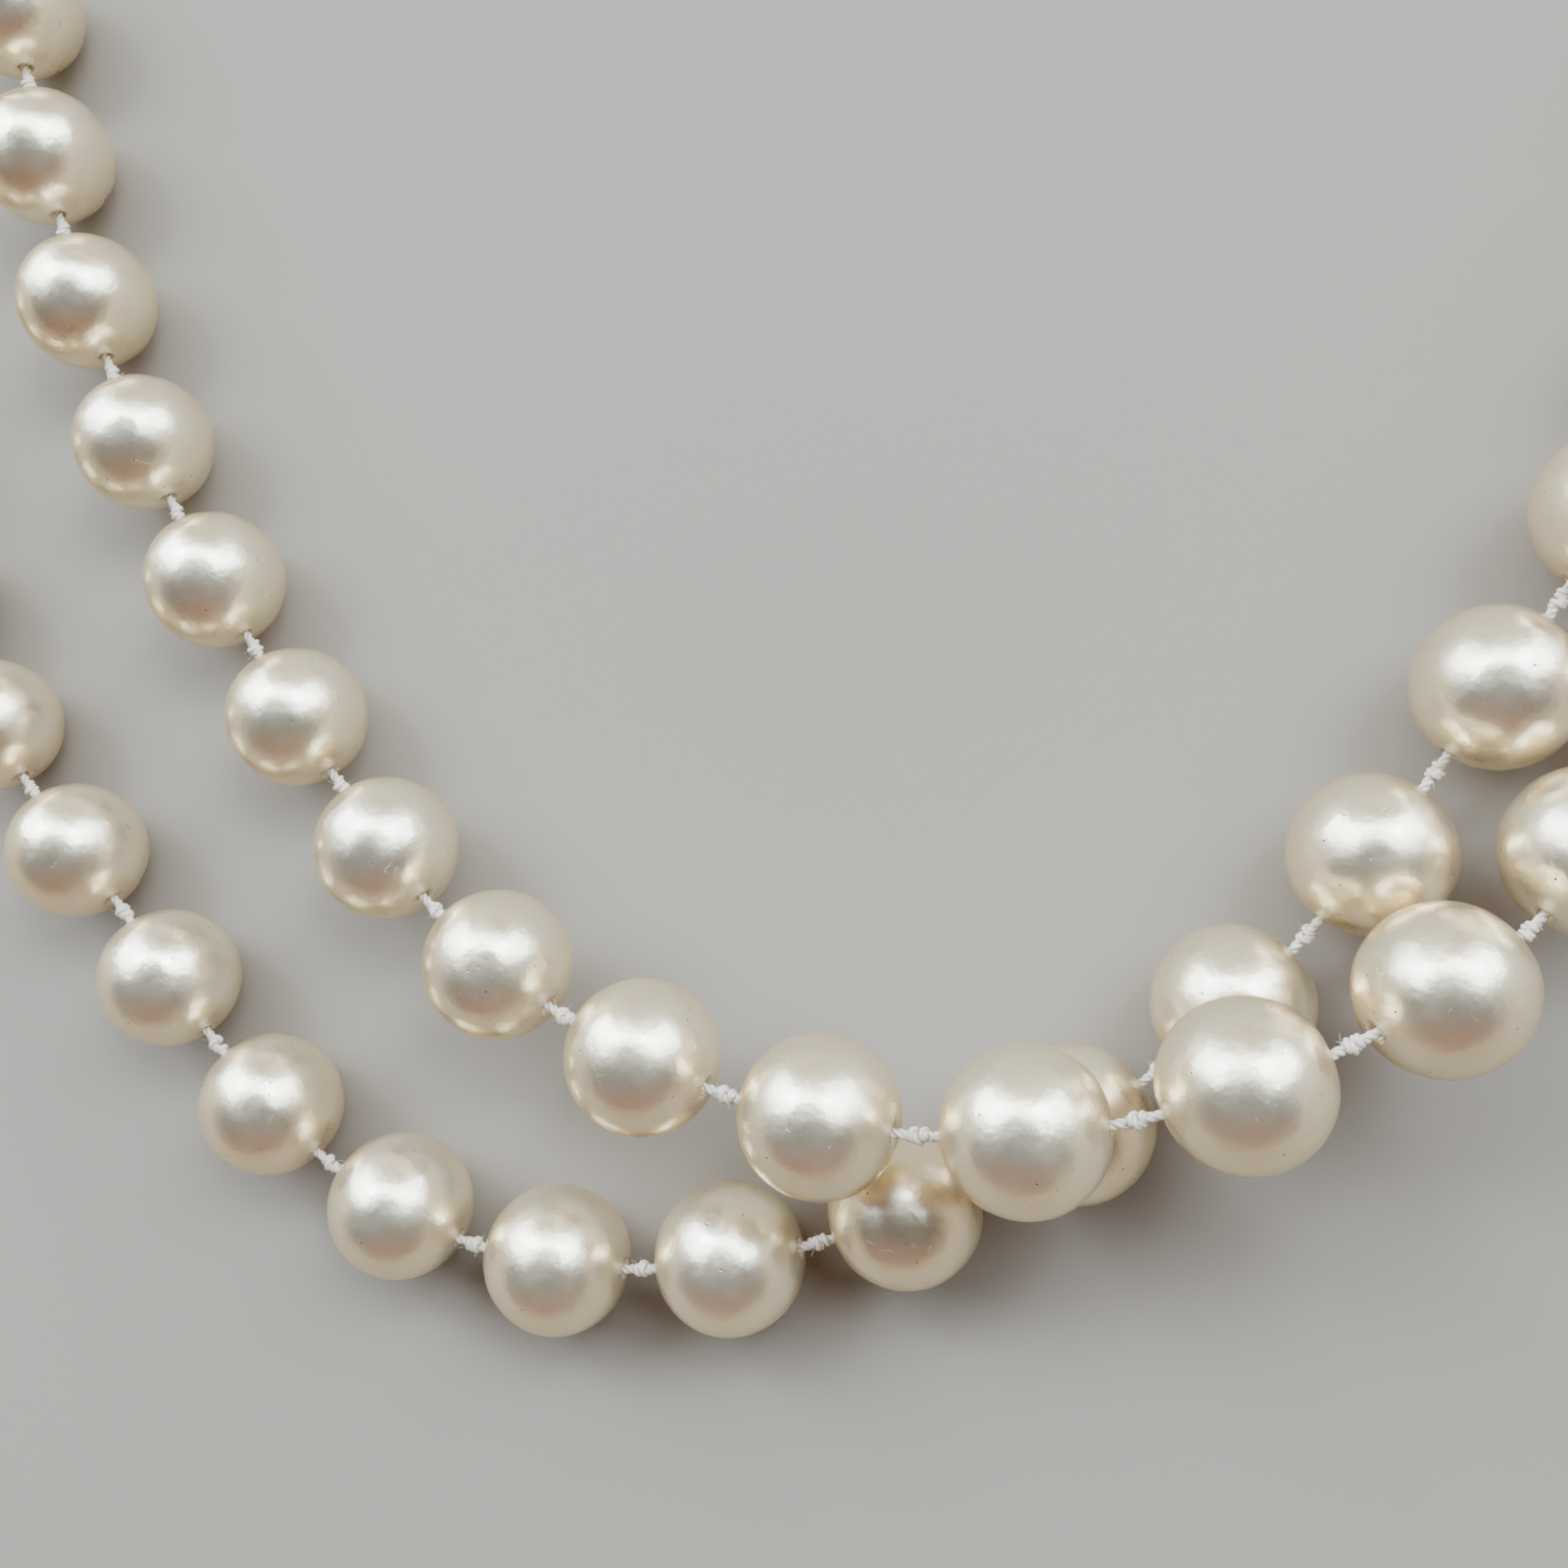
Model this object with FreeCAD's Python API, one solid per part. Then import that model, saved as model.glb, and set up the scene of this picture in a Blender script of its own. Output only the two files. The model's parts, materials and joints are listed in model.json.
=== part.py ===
"""Knotted pearl rope with a lobster clasp, wound twice round an open neck space and lying flat.

The rope is one closed string. It leaves the right side of the back, runs down the right,
round the front and up the left, goes round the back outside the clasp, and makes the same
turn again. One run crosses over the other at the lower right, so each run is the inner one
on one side and the outer one on the other.

Units are millimetres, +Z is up and the floor is z = 0. +Y points to the back of the neck,
where the clasp is. Every knot is a point of the rope, and the pearl between two knots sits
halfway along the straight line that joins them.
"""
import FreeCAD, Part
import math
import os
from FreeCAD import Vector

os.makedirs("parts", exist_ok=True)

# Pearls and silk
PEARL_DIAMETER = 8.0
PEARL_BORE = 1.0
PITCH = 9.85                 # knot to knot, so two pearls are 1.85 apart
THREAD_DIAMETER = 0.6
KNOT_DIAMETER = 1.15
END_KNOT_DIAMETER = 1.5
PIVOT_GAP = 0.05             # between a knot at a fold and the thread of the next body

# Plan of the rope: the knots at the front fold, and the lean of each row behind it
AXIS_HEIGHT = PEARL_DIAMETER / 2
FRONT_FOLD_Y = -61.8
OUTER_AT_FOLD = 44.1         # outer strands, either side of the middle
INNER_LEFT_AT_FOLD = -23.4
INNER_RIGHT_AT_FOLD = 34.9
ROW_LEANS = [35, 33, 28, 22, 16, 12, 8, 5, 3, 1, 0]    # degrees, front row first

# Front runs, chosen by hand from the left fold knot to the right one
OVER_RUN_COUNT = 8
OVER_RUN_ROUTE = [
    (-16.5, -68.8, 5.9),
    (-8.2, -74.2, 7.8),
    (1.0, -77.6, 9.7),
    (10.7, -78.9, 11.5),
    (20.6, -77.8, 12.3),
    (29.9, -74.4, 11.1),
    (38.5, -69.2, 7.0),
]
UNDER_RUN_COUNT = 10
UNDER_RUN_ROUTE = [
    (-37.3, -69.2),
    (-31.0, -76.8),
    (-23.6, -83.3),
    (-14.6, -87.3),
    (-4.7, -87.9),
    (5.0, -85.8),
    (14.0, -81.7),
    (22.2, -76.2),
    (29.1, -69.5),
]
BIGHT_FIRST_KNOT = 1         # the free loop of the under run lies between these two knots
BIGHT_LAST_KNOT = 6

# Back of the neck
OUTER_BACK_COUNT = 19
OUTER_BACK_DEPTH = 47.3
INNER_BACK_COUNT = 6         # on each side of the clasp
INNER_BACK_DEPTH = 33.0

# Clasp, in its own frame: x from the tail ring to the catch ring, z up
CLASP_AXIS_HEIGHT = 2.75
CLAW_THICKNESS = 2.2
CLAW_ROUNDING = 0.4
CLAW_CENTRE = 5.0
CLAW_HALF_LENGTH = 5.6
CLAW_HALF_WIDTH = 3.0
WINDOW_CENTRE = 6.7
WINDOW_HALF_LENGTH = 2.9
WINDOW_HALF_WIDTH = 1.75
EYE_CENTRE = -1.2
EYE_RADIUS = 1.5
EYE_BORE_RADIUS = 0.8
EYE_THICKNESS = 1.4
LEVER_PIVOT = (3.0, 1.3)
LEVER_THICKNESS = 1.0
LEVER_TIP = 8.35
LEVER_CLEARANCE = 0.1
LEVER_ROOT_RADIUS = 0.95
LEVER_HEEL = 0.45            # y of the flat under the heel
LEVER_SLOT = 1.15
RIVET_RADIUS = 0.38
RIVET_HEAD_RADIUS = 0.65
RIVET_HEAD_HEIGHT = 0.2
SPRING_WIDTH = 0.8
SPRING_OUTLINE = [           # two thin arms that meet at a bend, pressed nearly shut
    (1.50, -0.58),
    (3.80, -0.58),
    (3.80, -0.46),
    (1.75, -0.46),
    (3.70, 0.00),
    (3.60, 0.10),
    (1.50, -0.36),
]
TAIL_RING_RADIUS = 1.9
TAIL_RING_WIRE = 0.7
CATCH_RING_RADIUS = 2.3
CATCH_RING_WIRE = 0.8
TIP_CUP_RADIUS = 1.7
TIP_CUP_WALL = 0.25
TIP_CUP_OFFSET = 2.75        # from the middle of its loop to the middle of its cup
TIP_LOOP_RADIUS = 1.0
TIP_LOOP_WIRE = 0.5
TIP_TILT = 16                # degrees, from the ring up to the first pearl
TIP_SEAM = 0.12
TIP_MOUTH_ANGLE = 18         # degrees between the cup's axis and the rim of its mouth
TIP_TO_KNOT = 0.7


def save(name, *solids):
    """Write one named piece, or one group of like pieces, to its own file."""
    shape = solids[0] if len(solids) == 1 else Part.makeCompound(list(solids))
    shape.exportStep("parts/" + name + ".step")


def rod(start, end, diameter):
    """Round bar from one point to another."""
    along = end - start
    return Part.makeCylinder(diameter / 2, along.Length, start, along)


def pearl(start, end):
    """Bored pearl, centred between two knots with its bore along the line that joins them."""
    middle = (start + end) * 0.5
    along = (end - start).normalize()
    bore = rod(middle - along * PEARL_DIAMETER, middle + along * PEARL_DIAMETER, PEARL_BORE)
    return Part.makeSphere(PEARL_DIAMETER / 2, middle, along).cut(bore)


def pearls(knots):
    """One pearl between each pair of neighbouring knots."""
    return [pearl(start, end) for start, end in zip(knots, knots[1:])]


def stretch(start, end, knots):
    """One straight length of thread. It ends inside the knot where there is one."""
    inset = (end - start).normalize() * (KNOT_DIAMETER / 4)
    first = start + inset if start in knots else start
    last = end - inset if end in knots else end
    return rod(first, last, THREAD_DIAMETER)


def knot(centre, neighbour, diameter):
    """One overhand knot, with the seam of its ball turned away from the thread."""
    across = (neighbour - centre).cross(Vector(0, 0, 1))
    solid = Part.makeSphere(diameter / 2)
    solid.Placement = FreeCAD.Placement(centre, FreeCAD.Rotation(Vector(1, 0, 0), across))
    return solid


def silk(points, knots):
    """Thread along straight stretches, with a knot at each of the given points."""
    pieces = [stretch(start, end, knots) for start, end in zip(points, points[1:])]
    neighbours = points[1:2] + points[:-1]
    for point, neighbour in zip(points, neighbours):
        if point in knots:
            pieces.append(knot(point, neighbour, KNOT_DIAMETER))
    return pieces[0].multiFuse(pieces[1:])


def short_of(knot, neighbour):
    """Where a thread stops beside a knot that belongs to the next body."""
    return knot + (neighbour - knot).normalize() * (KNOT_DIAMETER / 2 + PIVOT_GAP)


def evenly(curve, count):
    """Knots that cut a curve into equal lengths, one length for each pearl."""
    return curve.toShape().discretize(Number=count + 1)


def through(points):
    """Smooth curve through points."""
    curve = Part.BSplineCurve()
    curve.interpolate(points)
    return curve


def fold_positions():
    """How far back and how far out each fold lies, from the front fold to the last one."""
    folds = [(FRONT_FOLD_Y, 0.0)]
    for lean in ROW_LEANS:
        back, out = folds[-1]
        angle = math.radians(lean)
        folds.append((back + PITCH * math.cos(angle), out + PITCH * math.sin(angle)))
    return folds


def fold_knots(fold):
    """The four knots on one fold: outer left, inner left, inner right, outer right."""
    back, out = fold
    across = [
        -OUTER_AT_FOLD - out,
        INNER_LEFT_AT_FOLD - out,
        INNER_RIGHT_AT_FOLD + out,
        OUTER_AT_FOLD + out,
    ]
    return [Vector(x, back, AXIS_HEIGHT) for x in across]


def over_run_knots():
    """Knots of the front run that climbs over the other one."""
    route = [Vector(*point) for point in OVER_RUN_ROUTE]
    return evenly(through([first_fold[1]] + route + [first_fold[3]]), OVER_RUN_COUNT)


def under_run_knots():
    """Knots of the front run that stays on the floor."""
    route = [Vector(x, y, AXIS_HEIGHT) for x, y in UNDER_RUN_ROUTE]
    return evenly(through([first_fold[0]] + route + [first_fold[2]]), UNDER_RUN_COUNT)


def outer_back_knots():
    """Knots of the long arc behind the clasp, from left to right."""
    left, right = last_fold[0], last_fold[3]
    middle = (left + right) * 0.5
    top = middle + Vector(0, OUTER_BACK_DEPTH, 0)
    ellipse = Part.Ellipse(right, top, middle)
    knots = evenly(Part.ArcOfEllipse(ellipse, 0, math.pi), OUTER_BACK_COUNT)
    return sorted(knots, key=lambda knot: knot.x)


def inner_back_knots(side_knot, end_x):
    """Knots of one quarter arc, from the last fold to the knot beside the clasp."""
    centre = Vector(end_x, side_knot.y, AXIS_HEIGHT)
    end = centre + Vector(0, INNER_BACK_DEPTH, 0)
    ellipse = Part.Ellipse(side_knot, end, centre)
    knots = evenly(Part.ArcOfEllipse(ellipse, 0, math.pi / 2), INNER_BACK_COUNT)
    return sorted(knots, key=lambda knot: knot.y)


def back_side_silk(knots, cup):
    """Silk from the last fold through one quarter arc to the end knot in its bead tip."""
    points = [short_of(knots[0], knots[1])] + knots[1:] + [cup]
    return silk(points, knots[1:]).fuse(knot(cup, knots[-1], END_KNOT_DIAMETER))


def row_silk(front_knots, back_knots):
    """The four short threads of one row, each with the knot at its back end."""
    threads = []
    for front, back in zip(front_knots, back_knots):
        threads.append(silk([short_of(front, back), back], [back]))
    return threads


def prism(face_edge, height):
    """Upright prism on a closed outline."""
    return Part.Face(Part.Wire([face_edge])).extrude(Vector(0, 0, height))


def oval(centre_x, half_length, half_width, height):
    """Upright elliptical prism, centred on z = 0."""
    middle = Vector(centre_x, 0, -height / 2)
    ellipse = Part.Ellipse(middle, half_length, half_width)
    return prism(ellipse.toShape(), height)


def disc(x, y, radius, height):
    """Upright round prism, centred on z = 0."""
    return Part.makeCylinder(radius, height, Vector(x, y, -height / 2))


def block(x_range, y_range, height):
    """Box centred on z = 0."""
    corner = Vector(x_range[0], y_range[0], -height / 2)
    return Part.makeBox(x_range[1] - x_range[0], y_range[1] - y_range[0], height, corner)


def claw_outline(height, inset):
    """The closed oval of claw and lever together, with its window."""
    outer = oval(CLAW_CENTRE, CLAW_HALF_LENGTH - inset, CLAW_HALF_WIDTH - inset, height)
    return outer.cut(oval(WINDOW_CENTRE, WINDOW_HALF_LENGTH, WINDOW_HALF_WIDTH, height))


def claw_body():
    """Cast claw: eye, two cheeks round the lever's root, and the fixed hook."""
    body = claw_outline(CLAW_THICKNESS, 0)
    rims = [edge for edge in body.Edges if edge.Length > 2 * CLAW_THICKNESS]
    body = body.makeFillet(CLAW_ROUNDING, rims)
    gate = block((4.4, LEVER_TIP + LEVER_CLEARANCE), (0.6, 4), 4)
    slot = block((1.2, 5.4), (-0.6, 4), LEVER_SLOT)
    body = body.cut(gate).cut(slot)
    body = body.fuse(disc(EYE_CENTRE, 0, EYE_RADIUS, EYE_THICKNESS))
    body = body.cut(disc(EYE_CENTRE, 0, EYE_BORE_RADIUS, 4))
    return body.cut(disc(*LEVER_PIVOT, RIVET_RADIUS + 0.01, 4))


def claw_lever():
    """Lever that closes the hook, with its heel on the rivet and a thumb tab."""
    arm = claw_outline(LEVER_THICKNESS, 0.1)
    arm = arm.common(block((LEVER_PIVOT[0], LEVER_TIP), (0.75, 4), LEVER_THICKNESS))
    root = disc(*LEVER_PIVOT, LEVER_ROOT_RADIUS, LEVER_THICKNESS)
    heel = block((3.0, 3.9), (LEVER_HEEL, 1.3), LEVER_THICKNESS)
    tab_neck = block((3.9, 5.3), (2.2, 3.3), LEVER_THICKNESS)
    tab = disc(4.6, 3.3, 0.75, LEVER_THICKNESS)
    lever = arm.multiFuse([root, heel, tab_neck, tab])
    return lever.cut(disc(*LEVER_PIVOT, RIVET_RADIUS + 0.06, 4)).removeSplitter()


def lever_rivet():
    """Rivet through both cheeks, with a flat head at each end."""
    rivet = disc(*LEVER_PIVOT, RIVET_RADIUS, CLAW_THICKNESS + 2 * RIVET_HEAD_HEIGHT)
    for side in (-1, 1):
        level = side * (CLAW_THICKNESS + RIVET_HEAD_HEIGHT) / 2
        head = disc(*LEVER_PIVOT, RIVET_HEAD_RADIUS, RIVET_HEAD_HEIGHT)
        rivet = rivet.fuse(head.translated(Vector(0, 0, level)))
    return rivet.removeSplitter()


def lever_spring():
    """Bent leaf between the slot's floor and the lever's heel, at its fully pressed shape."""
    corners = [Vector(x, y, -SPRING_WIDTH / 2) for x, y in SPRING_OUTLINE]
    outline = Part.makePolygon(corners + corners[:1])
    return Part.Face(outline).extrude(Vector(0, 0, SPRING_WIDTH))


def ring(centre_x, radius, wire):
    """Round wire ring standing on edge along the rope."""
    return Part.makeTorus(radius, wire / 2, Vector(centre_x, 0, 0), Vector(0, 1, 0))


def tip_cup():
    """Hollow round cup with its mouth towards +X, turned from the outline of its wall."""
    middle = Vector(TIP_CUP_OFFSET, 0, 0)

    def wall_point(radius, degrees):
        angle = math.radians(degrees)
        return middle + Vector(math.cos(angle), 0, math.sin(angle)) * radius

    inner = TIP_CUP_RADIUS - TIP_CUP_WALL
    corners = []
    for radius in (TIP_CUP_RADIUS, inner):
        corners.append([wall_point(radius, degrees) for degrees in (TIP_MOUTH_ANGLE, 100, 180)])
    outside, inside = corners
    outline = Part.Wire([
        Part.Arc(*outside).toShape(),
        Part.makeLine(outside[2], inside[2]),
        Part.Arc(*reversed(inside)).toShape(),
        Part.makeLine(inside[0], outside[0]),
    ])
    return Part.Face(outline).revolve(Vector(0, 0, 0), Vector(1, 0, 0), 360)


def bead_tip(loop_x, side):
    """Split cup that hides the end knot, and the loop that joins it to a ring."""
    seam = block((TIP_CUP_OFFSET - 1, TIP_CUP_OFFSET + 3), (-3, 3), TIP_SEAM)
    tip = tip_cup().cut(seam).fuse(Part.makeTorus(TIP_LOOP_RADIUS, TIP_LOOP_WIRE / 2))
    tip.rotate(Vector(0, 0, 0), Vector(0, 1, 0), -TIP_TILT)
    if side < 0:
        tip.rotate(Vector(0, 0, 0), Vector(0, 0, 1), 180)
    return tip.translated(Vector(loop_x, 0, 0))


def cup_middle(loop_x, side):
    """Where the end knot sits inside a bead tip."""
    tilt = math.radians(TIP_TILT)
    out = side * TIP_CUP_OFFSET * math.cos(tilt)
    return clasp_place + Vector(loop_x + out, 0, TIP_CUP_OFFSET * math.sin(tilt))


# Where the folds of the rope lie
folds = fold_positions()
first_fold = fold_knots(folds[0])
last_fold = fold_knots(folds[-1])

# Where the pieces of the clasp lie, each pulled against the next
tail_ring_x = EYE_CENTRE - 0.2 - TAIL_RING_RADIUS
tail_loop_x = tail_ring_x - TAIL_RING_RADIUS - 0.25
hook_nose_x = WINDOW_CENTRE + WINDOW_HALF_LENGTH
catch_ring_x = hook_nose_x - CATCH_RING_WIRE / 2 - 0.2 + CATCH_RING_RADIUS
catch_loop_x = catch_ring_x + CATCH_RING_RADIUS + 0.22
tip_reach = (TIP_CUP_OFFSET + TIP_CUP_RADIUS) * math.cos(math.radians(TIP_TILT))
end_gap = tip_reach + TIP_TO_KNOT
clasp_span = catch_loop_x - tail_loop_x + 2 * end_gap
inner_middle_x = (last_fold[1].x + last_fold[2].x) / 2
left_end_x = inner_middle_x - clasp_span / 2
right_end_x = inner_middle_x + clasp_span / 2
clasp_place = Vector(
    left_end_x + end_gap - tail_loop_x,
    last_fold[1].y + INNER_BACK_DEPTH,
    CLASP_AXIS_HEIGHT,
)

# Front: every pearl has its own name
over_run = over_run_knots()
under_run = under_run_knots()
for number, solid in enumerate(pearls(over_run), 1):
    save(f"over_run_pearl_{number:02d}", solid)
for number, solid in enumerate(pearls(under_run), 1):
    save(f"under_run_pearl_{number:02d}", solid)
save("over_run_thread", silk(over_run, over_run))
before_bight = under_run[:BIGHT_FIRST_KNOT + 1]
bight = under_run[BIGHT_FIRST_KNOT:BIGHT_LAST_KNOT + 1]
after_bight = under_run[BIGHT_LAST_KNOT:]
save("under_run_thread", silk(before_bight, before_bight), silk(after_bight, after_bight))
bight_ends = [short_of(bight[0], bight[1]), short_of(bight[-1], bight[-2])]
save("bight_thread", silk([bight_ends[0]] + bight[1:-1] + [bight_ends[1]], bight[1:-1]))

# Sides: each row is four pearls, one of each strand, and their threads
for number, (front_fold, back_fold) in enumerate(zip(folds, folds[1:]), 1):
    front_knots = fold_knots(front_fold)
    back_knots = fold_knots(back_fold)
    save(f"row_{number:02d}_pearls", *[pearl(*pair) for pair in zip(front_knots, back_knots)])
    save(f"row_{number:02d}_thread", *row_silk(front_knots, back_knots))

# Back of the neck
outer_back = outer_back_knots()
save("outer_back_pearls", *pearls(outer_back))
outer_ends = [short_of(outer_back[0], outer_back[1]), short_of(outer_back[-1], outer_back[-2])]
save("outer_back_thread", silk([outer_ends[0]] + outer_back[1:-1] + [outer_ends[1]], outer_back[1:-1]))
inner_back_left = inner_back_knots(last_fold[1], left_end_x)
inner_back_right = inner_back_knots(last_fold[2], right_end_x)
save("inner_back_pearls_left", *pearls(inner_back_left))
save("inner_back_pearls_right", *pearls(inner_back_right))
save("inner_back_thread_left", back_side_silk(inner_back_left, cup_middle(tail_loop_x, -1)))
save("inner_back_thread_right", back_side_silk(inner_back_right, cup_middle(catch_loop_x, 1)))

# Clasp
save("bead_tip_left", bead_tip(tail_loop_x, -1).translated(clasp_place))
save("bead_tip_right", bead_tip(catch_loop_x, 1).translated(clasp_place))
save("tail_ring", ring(tail_ring_x, TAIL_RING_RADIUS, TAIL_RING_WIRE).translated(clasp_place))
save("catch_ring", ring(catch_ring_x, CATCH_RING_RADIUS, CATCH_RING_WIRE).translated(clasp_place))
save("claw_body", claw_body().translated(clasp_place))
save("claw_lever", claw_lever().translated(clasp_place))
save("lever_rivet", lever_rivet().translated(clasp_place))
save("lever_spring", lever_spring().translated(clasp_place))
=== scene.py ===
"""Looks of the knotted pearl necklace, built around its CAD frame. Lengths are in metres.

Every pearl's place and bore are read from its CAD node. A knot between two pearls lies halfway
between their bores' mouths, and the end knots lie on the way to the bead tips, so nothing here
says where the rope runs.
"""

import json
import math
import random

import bmesh
import bpy
from mathutils import Matrix, Vector, noise

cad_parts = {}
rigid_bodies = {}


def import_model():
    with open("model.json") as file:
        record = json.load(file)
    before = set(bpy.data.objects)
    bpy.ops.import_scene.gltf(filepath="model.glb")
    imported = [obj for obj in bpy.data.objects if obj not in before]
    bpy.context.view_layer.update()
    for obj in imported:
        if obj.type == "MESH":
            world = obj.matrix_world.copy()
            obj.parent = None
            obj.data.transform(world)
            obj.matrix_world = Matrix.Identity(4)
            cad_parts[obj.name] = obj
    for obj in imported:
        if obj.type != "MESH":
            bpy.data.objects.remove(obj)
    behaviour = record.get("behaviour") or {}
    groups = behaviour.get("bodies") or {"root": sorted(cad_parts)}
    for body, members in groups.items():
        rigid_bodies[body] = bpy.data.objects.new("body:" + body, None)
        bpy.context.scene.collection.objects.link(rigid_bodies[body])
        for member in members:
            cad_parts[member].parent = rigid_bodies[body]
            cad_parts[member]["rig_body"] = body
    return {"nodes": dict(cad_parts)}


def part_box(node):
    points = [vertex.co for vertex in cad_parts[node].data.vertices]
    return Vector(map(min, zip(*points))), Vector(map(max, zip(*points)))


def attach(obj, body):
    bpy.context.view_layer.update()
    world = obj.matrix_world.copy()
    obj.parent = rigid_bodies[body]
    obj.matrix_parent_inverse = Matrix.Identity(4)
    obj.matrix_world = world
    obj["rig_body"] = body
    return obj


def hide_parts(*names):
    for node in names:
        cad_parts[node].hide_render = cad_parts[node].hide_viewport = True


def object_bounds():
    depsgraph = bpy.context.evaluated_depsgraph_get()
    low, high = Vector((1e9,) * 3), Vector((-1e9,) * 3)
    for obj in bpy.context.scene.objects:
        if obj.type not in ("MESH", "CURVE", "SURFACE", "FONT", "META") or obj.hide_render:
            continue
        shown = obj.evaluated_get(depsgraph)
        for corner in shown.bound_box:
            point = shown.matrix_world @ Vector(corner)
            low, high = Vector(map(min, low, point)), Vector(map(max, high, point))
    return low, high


MM = 0.001
NOISE_RANGE = (0.3, 0.7)       # noise seldom leaves this range

# Pearls
PEARL_RADIUS = 4.0 * MM
BORE_RADIUS = 0.5 * MM
PEARL_SEGMENTS = 72
PEARL_RINGS = 54
DIMPLE_DEPTH = 0.10 * MM
DIMPLE_WIDTH = 0.30            # radians round the bore's mouth
BORE_RING_PLACE = 0.8 * PEARL_RADIUS   # rings of the bore's wall, from the pearl's middle
WAVER = 0.045 * MM             # how far the surface strays from a true sphere
WAVER_SHIFT = 0.45             # keeps nearly all of the waver inside the true sphere
BROAD_WAVER = 1.1              # swells over one radius, roughly
FINE_WAVER = 2.7
FINE_SHARE = 0.35              # height of the fine swells beside the broad ones
WAVER_STEPS = (7.3, 3.1, 5.7)  # steps through the noise from one pearl to the next
NACRE_STEPS = (1.37, 2.11, 0.73)

# Nacre
MOUTH_WEAR = 0.035             # how far the worn lacquer reaches round a mouth
SPECK_SCALE = 9.0              # fine cells over one radius
SPECK_SHARE = 0.08             # share of fine cells that hold a pit
SPECK_EDGE = (0.07, 0.15)      # where a pit's rim begins and ends, in cells
SCRATCH_SCALE = 2.3
SCRATCH_LINE = (0.0004, 0.0020)        # how near its contour a scratch is full, and fades
SCRATCH_PATCH = (0.58, 0.64)   # noise levels between which the scratches come in
SCRATCH_DEPTH = 0.4            # depth of a scratch beside a pit's
SCRATCH_SHARE = 0.30           # how far a scratch takes its own colour
TONE_SHARE = 0.7               # how far the warmest pearl leans to the warm colour
WORN_SHARE = 0.6               # how far a mouth takes its worn colour
MOUTH_ROUGHNESS = 0.15         # added at a mouth
RIPPLE_DEPTH = 0.038 * MM
PUCKER_DEPTH = 0.10 * MM
GRAIN_DEPTH = 0.0032 * MM
MARK_DEPTH = 0.012 * MM
NACRE_METALLIC = 0.85
NACRE_POLISH = (0.26, 0.36)    # lowest and highest roughness
NACRE_DEEP = (0.88, 0.72, 0.44)
NACRE_PALE = (0.97, 0.86, 0.65)
NACRE_WARM = (0.92, 0.75, 0.49)
NACRE_MOUTH = (0.86, 0.76, 0.58)
SCRATCH_COLOUR = (0.45, 0.38, 0.30)
SPECK_COLOUR = (0.05, 0.04, 0.03)

# Silk
PLY_RADIUS = 0.145 * MM
PLY_OFFSET = 0.12 * MM
PLY_COUNT = 3
PLY_PITCH = 1.3 * MM           # length of one full twist
PLY_SIDES = 7
KNOT_COIL_RADIUS = 0.215 * MM
KNOT_HALF_WIDTH = 0.43 * MM
KNOT_TURNS = (1.5, 2.0)        # lowest and highest, as in the three lines below
KNOT_COIL_SPREAD = (0.9, 1.15)
KNOT_WIDTH_SPREAD = (0.85, 1.15)
KNOT_LEAN = (0.35, 0.75)       # how far the coils slant, beside their radius
KNOT_STEPS = 24                # points in one turn
KNOT_TAIL = 1.3 * KNOT_HALF_WIDTH      # at a fold, from the knot's middle to its thread's end
FRAME_KNOT_REACH = 0.62 * MM   # just outside the ball of a knot in the frame
END_KNOT_PLACE = 0.93 * MM     # from the last pearl's mouth to its knot
CUP_KNOT_PLACE = 3.3 * MM      # from the last pearl's mouth to the knot in the bead tip
CUP_KNOT_SWELLING = 1.3
CUP_SEED = 1000                # seeds of the end knots start here
THREAD_STEP = 0.16 * MM
HIDDEN_STEP = 0.32 * MM        # inside the bores
FUZZ_COUNT = 4
FUZZ_STEPS = 5
FUZZ_LENGTH = 0.6 * MM
FUZZ_RADIUS = 0.011 * MM
FUZZ_CORNERS = (0, 2.1, 4.2)   # radians round a fibre
FUZZ_SPREAD = 0.5 * MM         # along the thread, each side of the knot's middle
FUZZ_BEND = 0.55
FUZZ_RISE = (0.3, 1.0)         # how steeply a fibre leaves the knot, lowest and highest
FUZZ_SLANT = (-1.2, 1.2)
FUZZ_LENGTH_SPREAD = (0.7, 1.1)
TUCK = 0.7 * MM                # how far a thread reaches into a bore
NEAREST_MOUTHS = 3.2 * MM      # mouths farther apart than this have no knot between them
SILK_DEEP = (0.68, 0.56, 0.42)
SILK_PALE = (0.90, 0.78, 0.62)
SILK_GRAIN_DEPTH = 0.03 * MM

# Metal
GOLD_DEEP = (0.86, 0.64, 0.32)
GOLD_PALE = (0.92, 0.72, 0.40)
GOLD_POLISH = (0.27, 0.34)     # lowest and highest roughness
GOLD_GRAIN_DEPTH = 0.002 * MM
STEEL_DEEP = (0.50, 0.50, 0.52)
STEEL_PALE = (0.68, 0.68, 0.69)
STEEL_POLISH = (0.22, 0.38)

# Camera
CAMERA_LENS = 36.0             # millimetres, as is the sensor
CAMERA_SENSOR = 36.0
CAMERA_DISTANCE = 83.0 * MM
CAMERA_AIM_RIGHT = 2.7 * MM    # from the middle of the necklace
CAMERA_AIM_BACK = 29.6 * MM    # from the front edge of the necklace
CAMERA_FROM_RIGHT = 14.2       # degrees from straight above
CAMERA_FROM_FRONT = 2.8

# Floor
FLOOR_REACH = 6.0
FLOOR_DROP = 0.05 * MM         # below the lowest point of the CAD
FLOOR_COLOUR = (0.310, 0.255, 0.190)
# painted light: the floor's colour far away, paler because the lamps don't reach there
FLOOR_PAINTED_LIGHT_COLOUR = (0.90, 0.88, 0.84)
FLOOR_NEAR = 0.35              # from the middle: where the painted light starts to make the floor paler, and where it is palest
FLOOR_FAR = 1.5

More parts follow.
